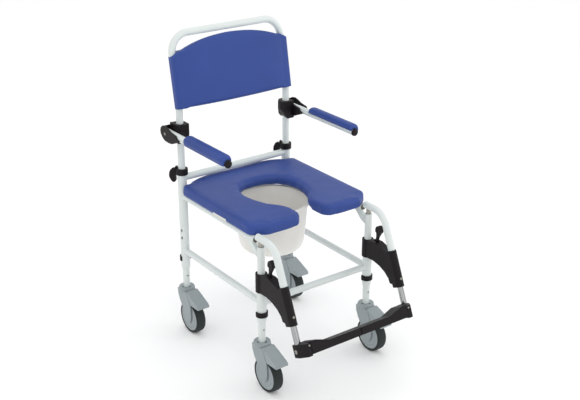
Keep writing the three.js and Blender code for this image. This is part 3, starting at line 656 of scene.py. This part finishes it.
def rounded_outline(points, step, spread):
    """An even outline whose corners are eased over about spread millimetres."""
    even = resampled(points, step)
    reach = int(3 * spread / step)
    weights = np.exp(-0.5 * (np.arange(-reach, reach + 1) * step / spread) ** 2)
    weights /= weights.sum()
    return sum(w * np.roll(even, -k, axis=0) for k, w in zip(range(-reach, reach + 1), weights))


def inside_distance(outline, xy):
    """Distance to a closed outline, positive inside, the unit direction inwards and the nearest spot."""
    a, b = outline, np.roll(outline, -1, axis=0)
    best = np.full(len(xy), 1e9)
    nearest = np.zeros_like(xy)
    inside = np.zeros(len(xy), bool)
    for p, q in zip(a, b):
        along = q - p
        t = np.clip(((xy - p) @ along) / (along @ along), 0, 1)
        spot = p + t[:, None] * along
        d = np.hypot(*(xy - spot).T)
        closer = d < best
        best[closer] = d[closer]
        nearest[closer] = spot[closer]
        crosses = (p[1] > xy[:, 1]) != (q[1] > xy[:, 1])
        if abs(q[1] - p[1]) > 1e-12:
            at_x = p[0] + (xy[:, 1] - p[1]) * (q[0] - p[0]) / (q[1] - p[1])
            inside ^= crosses & (xy[:, 0] < at_x)
    sign = np.where(inside, 1.0, -1.0)
    inwards = (xy - nearest) * sign[:, None] / np.maximum(best, 1e-9)[:, None]
    return best * sign, inwards, nearest


def coordinates(mesh):
    """A mesh's points in metres, as rows."""
    flat = np.zeros(len(mesh.vertices) * 3)
    mesh.vertices.foreach_get("co", flat)
    return flat.reshape(-1, 3)


def chair_millimetres(mesh):
    """A mesh's points in millimetres from the chair's own origin, as at() takes them."""
    points = coordinates(mesh) / MM
    points[:, 1] -= SHIFT / MM
    return points


def set_coordinates(mesh, points):
    """Moves a mesh's points to the given places, in metres."""
    mesh.vertices.foreach_set("co", points.ravel())
    mesh.update()


HOLE_HALF_WIDTH = 115
HOLE_FRONT = -60
HOLE_REAR = 225
NEAR_VOXELS = 0.62  # a remeshed point within this many voxels of a face belongs to it


def slab_pad(name, outline, z0, z1, top_r, low_r, hole_r, voxel):
    """A pad of even quads: the outline from z0 to z1 with its edges rounded over (millimetres)."""
    loops = [[at(x, y, z) for x, y in outline] for z in (z0, z1)]
    made = linked(name, loops_mesh(name, loops))
    remesh = made.modifiers.new("even", "REMESH")
    remesh.mode = "VOXEL"
    remesh.voxel_size = voxel * MM
    mesh = apply_modifiers(made)
    points = chair_millimetres(mesh)
    d, inwards, nearest = inside_distance(outline, points[:, :2])
    z = points[:, 2]
    near = NEAR_VOXELS * voxel
    at_side = (d < near) & (z > z0 + near) & (z < z1 - near)
    points[at_side, :2] = nearest[at_side]
    d = np.where(at_side, 0.0, np.maximum(d, 0.0))
    z = np.where(z > z1 - near, z1, np.where(z < z0 + near, z0, z))
    in_hole = np.abs(nearest[:, 0]) < HOLE_HALF_WIDTH
    in_hole &= (nearest[:, 1] > HOLE_FRONT) & (nearest[:, 1] < HOLE_REAR)
    for edge_r, up in ((top_r, 1), (low_r, -1)):
        r = np.where(in_hole, hole_r, edge_r)
        height = (z - (z1 - r)) if up == 1 else ((z0 + r) - z)
        depth = r - d
        corner = (height > 0) & (depth > 0)
        reach = np.hypot(height, depth)
        scale = np.where(corner & (reach > r), r / np.maximum(reach, 1e-9), 1.0)
        moved = depth * (1 - scale)
        points[corner, :2] += (inwards * moved[:, None])[corner]
        z = np.where(corner, z - up * height * (1 - scale), z)
    points[:, 2] = z
    points[:, 1] += SHIFT / MM
    set_coordinates(mesh, points * MM)
    bpy.data.objects.remove(made)
    return mesh


SIMULATED_FRAMES = 20
PRESSURE = 2.0
pads = []


def soft_piece(name, mesh, body, node, held, cap):
    """A padded piece: cloth held where it lies on something, whose points move cap millimetres at most."""
    made = piece(name, mesh, VINYL, body, [node], smooth_angle=0)
    pads.append((made, held, cap))


def simulate():
    """Puffs every pad up, then keeps each point's move under its cap."""
    starts = []
    for made, held, _ in pads:
        group = made.vertex_groups.new(name="held")
        group.add([int(i) for i in np.nonzero(held)[0]], 1.0, "REPLACE")
        cloth = made.modifiers.new("cloth", "CLOTH")
        cloth.settings.quality = 4
        cloth.settings.mass = 0.3
        cloth.settings.tension_stiffness = 12
        cloth.settings.compression_stiffness = 12
        cloth.settings.bending_stiffness = 0.6
        cloth.settings.use_pressure = True
        cloth.settings.uniform_pressure_force = PRESSURE
        cloth.settings.effector_weights.gravity = 0
        cloth.settings.vertex_group_mass = "held"
        cloth.point_cache.frame_start = 1
        cloth.point_cache.frame_end = SIMULATED_FRAMES
        starts.append(coordinates(made.data))
    scene = bpy.context.scene
    for number in range(1, SIMULATED_FRAMES + 1):
        scene.frame_set(number)
    graph = bpy.context.evaluated_depsgraph_get()
    ends = [coordinates(made.evaluated_get(graph).data) for made, _, _ in pads]
    scene.frame_set(1)
    for (made, _, cap), start, end in zip(pads, starts, ends):
        made.modifiers.clear()
        made.vertex_groups.clear()
        move = end - start
        length = np.linalg.norm(move, axis=1)
        allowed = cap * MM * np.tanh(length / (cap * MM))
        set_coordinates(made.data, start + move * (allowed / np.maximum(length, 1e-12))[:, None])


# The seat pad: a moulded pad with an opening that runs out at the front.
SWELL_ROOM = 1.5
half_outline = [(120, 362.5), (165, 351.5), (200, 335.5), (212, 324.5), (238, 322.5), (249.4, 310),
                (249.4, -96), (245.5, -108), (231, -122), (215, -131), (196, -145), (120, -147.4),
                (70, -142.4), (55, -131), (47.5, -114), (46.6, -48), (61, -21), (85, 12), (102, 62),
                (109, 115), (101, 160), (80, 192), (45, 211), (0, 217)]
other_half = [(-x, y) for x, y in reversed(half_outline) if x]
seat_outline = rounded_outline([*half_outline, *other_half], step=4.0, spread=5.0)
seat_mesh = slab_pad("seat_pad", seat_outline, SEAT_BOTTOM_Z, SEAT_TOP_Z - SWELL_ROOM, top_r=11, low_r=4,
                     hole_r=17, voxel=5.0)
seat_points = coordinates(seat_mesh)
seat_held = seat_points[:, 2] < (SEAT_BOTTOM_Z + 6) * MM
soft_piece("seat_pad", seat_mesh, "frame", "seat_cushion", seat_held, cap=1.6)


BACK_THICK = 14.4  # the sling's depth behind the posts' axis
FRONT_THICK = 26  # and in front of it
HOLLOW = 4  # its depth behind the axis between the posts
SIDE_DEPTH = 6.0
FRONT_CORNER_R = 12
BLEND_START = LEG_X - 36
BLEND_WIDTH = 26


def eased(t):
    """A smooth step from 0 to 1 while t goes from 0 to 1."""
    t = min(max(t, 0), 1)
    return t * t * (3 - 2 * t)


def back_section(across, face):
    """Depth of the sling's face at a place across the back: -1 is the front, +1 the side behind."""
    reach = abs(across) - LEG_X
    if face < 0:
        if reach > BACK_THICK - 0.01:
            return -SIDE_DEPTH
        corner = max(reach - (BACK_THICK - FRONT_CORNER_R), 0.0)
        return -(FRONT_THICK - FRONT_CORNER_R) - math.sqrt(FRONT_CORNER_R ** 2 - corner ** 2)
    if reach > 0:
        return math.sqrt(max(BACK_THICK ** 2 - reach ** 2, 0.0))
    return HOLLOW + (BACK_THICK - HOLLOW) * eased((abs(across) - BLEND_START) / BLEND_WIDTH)


SLING_HOLD_X = LEG_X - 20  # beyond this the sling is wrapped round its post
SLING_ROWS = 46
SLING_BOTTOM_Z = 873
SLING_SHOULDER_Z = 1052
SLING_APEX_Z = 1108
SLING_EDGE = 10
EDGE_THINNING = (1.0, 0.9, 0.66, 0.3)
EDGE_REACH = (0.0, -4.8, -8.4, -10.0)


def back_sling():
    """The sling: front and rear faces in rows from bottom to top, with three rounded rows at each edge."""
    slope = math.cos(BACK_TILT)
    half_width = LEG_X + BACK_THICK
    middle = (HOLLOW - FRONT_THICK) / 2
    heights = (SLING_BOTTOM_Z, SLING_SHOULDER_Z, SLING_APEX_Z)
    bottom, shoulder, apex = [(z - BACK_BEND_Z) / slope for z in heights]
    angles = [math.radians(a) for a in (0, 10, 22, 36, 52, 70)]
    outer = [LEG_X + BACK_THICK * math.cos(a) for a in angles]
    flat = list(np.linspace(LEG_X, 0, 47))
    right = [*outer, *flat]
    across = [-v for v in right[:-1]] + right[::-1]

    def ends(v):
        t = abs(v) / half_width
        top = shoulder + (apex - shoulder) * (1 - t ** 2.15) ** 0.86
        return bottom - 7 * (1 - t * t), top

    loops = []
    last_edge = len(EDGE_REACH) - 1
    for j in range(-last_edge, SLING_ROWS + last_edge + 1):
        edge = max(-j, j - SLING_ROWS, 0)
        part = min(max(j, 0), SLING_ROWS) / SLING_ROWS
        inset = EDGE_REACH[edge]
        loop = []
        for face, order in ((-1, across), (1, across[::-1][1:-1])):
            for v in order:
                s0, s1 = ends(v)
                inner = eased((SLING_HOLD_X - abs(v)) / 16)
                s = s0 + SLING_EDGE + (s1 - s0 - 2 * SLING_EDGE) * part
                s += inset if j < 0 else -inset
                thin = 1 - (1 - EDGE_THINNING[edge]) * inner
                depth = middle * inner + (back_section(v, face) - middle * inner) * thin
                k, c = math.sin(BACK_TILT), math.cos(BACK_TILT)
                y = REAR_LEG_Y + k * s + c * depth
                z = BACK_BEND_Z + c * s - k * depth
                loop.append(at(v, y, z))
        loops.append(loop)
    count = len(loops[0])
    points = [p for loop in loops for p in loop]
    faces = strip_faces(len(loops), count)
    front = len(across)
    for base, flip in ((0, 1), ((len(loops) - 1) * count, -1)):
        front_row = [base + i for i in range(front)]
        rear_row = [base, *[base + 2 * front - 2 - i for i in range(1, front - 1)], base + front - 1]
        for i in range(front - 1):
            quad = [front_row[i], front_row[i + 1], rear_row[i + 1], rear_row[i]]
            faces.append(tuple(list(dict.fromkeys(quad))[::flip]))
    return mesh_of("back_sling", points, faces)


back_mesh = back_sling()
back_points = coordinates(back_mesh)
back_held = np.abs(back_points[:, 0]) > SLING_HOLD_X * MM
soft_piece("back_sling", back_mesh, "back", "back_upholstery", back_held, cap=3.5)


def arm_foam(sign, name):
    """Foam over the arm tube, leaning outwards and rounded at both ends."""
    front, rear, end_r = -20, 230, 13
    lean = math.radians(16)
    end_steps = (0, 1.2, 3.5, 7, end_r)
    stations = sorted({*[front + v for v in end_steps], *[rear - v for v in end_steps],
                       *np.linspace(front + 20, rear - 20, 40)})
    half_width, crown = 21, 28.5
    bore_r = TUBE_R + 0.4
    arcs = 22
    outer, inner = [], []
    for i in range(arcs + 1):
        a = math.pi * i / arcs
        base = -0.5 - 2.5 * math.cos(a)
        rise = 0.62 * math.sin(a) ** 0.8 + 0.38 * min(1, 6 * math.sin(a))
        outer.append((half_width * math.cos(a), base + (crown - base) * rise))
        inner.append((bore_r * math.cos(a), bore_r * math.sin(a) + base * (1 - math.sin(a))))
    loops = []
    for y in stations:
        near = min(y - front, rear - y)
        full = 0.42 + 0.58 * math.sqrt(max(0.0, 1 - (1 - min(near / end_r, 1)) ** 2))
        mixed = [(ix + (ox - ix) * full, iz + (oz - iz) * full) for (ox, oz), (ix, iz) in zip(outer, inner)]
        leaning = [(px * math.cos(lean) + pz * math.sin(lean), pz * math.cos(lean) - px * math.sin(lean))
                   for px, pz in [*mixed, *inner[::-1]]]
        loops.append([at(sign * (ARM_X + px), y, ARM_Z + pz) for px, pz in leaning])
    count = 2 * (arcs + 1)
    points = [p for loop in loops for p in loop]
    faces = strip_faces(len(loops), count)
    for base in (0, (len(loops) - 1) * count):
        faces += [(base + i, base + i + 1, base + count - 2 - i, base + count - 1 - i) for i in range(arcs)]
    return mesh_of(name, points, faces)


for side, sign in SIDES.items():
    foam = arm_foam(sign, f"arm_foam_{side}")
    spots = chair_millimetres(foam)
    from_tube = np.hypot(spots[:, 0] - sign * ARM_X, spots[:, 2] - ARM_Z)
    soft_piece(f"arm_foam_{side}", foam, f"arm_{side}", f"arm_pad_{side}", from_tube < TUBE_R + 1.5,
               cap=1.2)

simulate()
for made, _, _ in pads:
    smooth = made.modifiers.new("smooth", "SUBSURF")
    smooth.levels = 1
    smooth.render_levels = 1

# ---- floor, light, camera ----
floor_mesh = mesh_of("floor", [(-30, -30, 0), (30, -30, 0), (30, 30, 0), (-30, 30, 0)], [(0, 1, 2, 3)])
floor = linked("floor", floor_mesh)
floor_mesh.materials.append(surface("floor_white", linear(251, 251, 251), 0.9, tone=0.004, tone_scale=1.0))

world = bpy.data.worlds.new("studio")
world.use_nodes = True
world.node_tree.nodes["Background"].inputs["Color"].default_value = (1, 1, 1, 1)
world.node_tree.nodes["Background"].inputs["Strength"].default_value = WORLD_STRENGTH
bpy.context.scene.world = world


def softbox(name, place, target, size, power):
    """A square area light at a place, facing a target."""
    light = bpy.data.lights.new(name, "AREA")
    light.shape = "RECTANGLE"
    light.size = size
    light.size_y = size
    light.energy = power
    made = linked(name, light)
    made.location = Vector(place)
    made.rotation_euler = (Vector(target) - Vector(place)).to_track_quat("-Z", "Y").to_euler()


softbox("key", (-1.6, -2.2, 3.0), (0, 0, 0.6), 1.8, 10)
softbox("fill", (2.6, -1.2, 1.6), (0, 0, 0.6), 1.6, 12)
softbox("top", (0.2, 0.6, 3.4), (0, 0, 0.5), 2.4, 8)

CAMERA_AZIMUTH = math.radians(-36.07)
CAMERA_ELEVATION = math.radians(23.107)
CAMERA_DISTANCE = 3.662
CAMERA_AIM_Z = 585.7
camera_data = bpy.data.cameras.new("camera")
camera_data.lens = 65.17
camera_data.sensor_width = 36
camera = linked("camera", camera_data)
back = Vector((math.sin(CAMERA_AZIMUTH) * math.cos(CAMERA_ELEVATION),
               -math.cos(CAMERA_AZIMUTH) * math.cos(CAMERA_ELEVATION), math.sin(CAMERA_ELEVATION)))
camera.location = at(0, 0, CAMERA_AIM_Z) + back * CAMERA_DISTANCE
camera.rotation_mode = "QUATERNION"
camera.rotation_quaternion = (-back).to_track_quat("-Z", "Y")
bpy.context.scene.camera = camera
bpy.context.scene.view_settings.view_transform = "Standard"
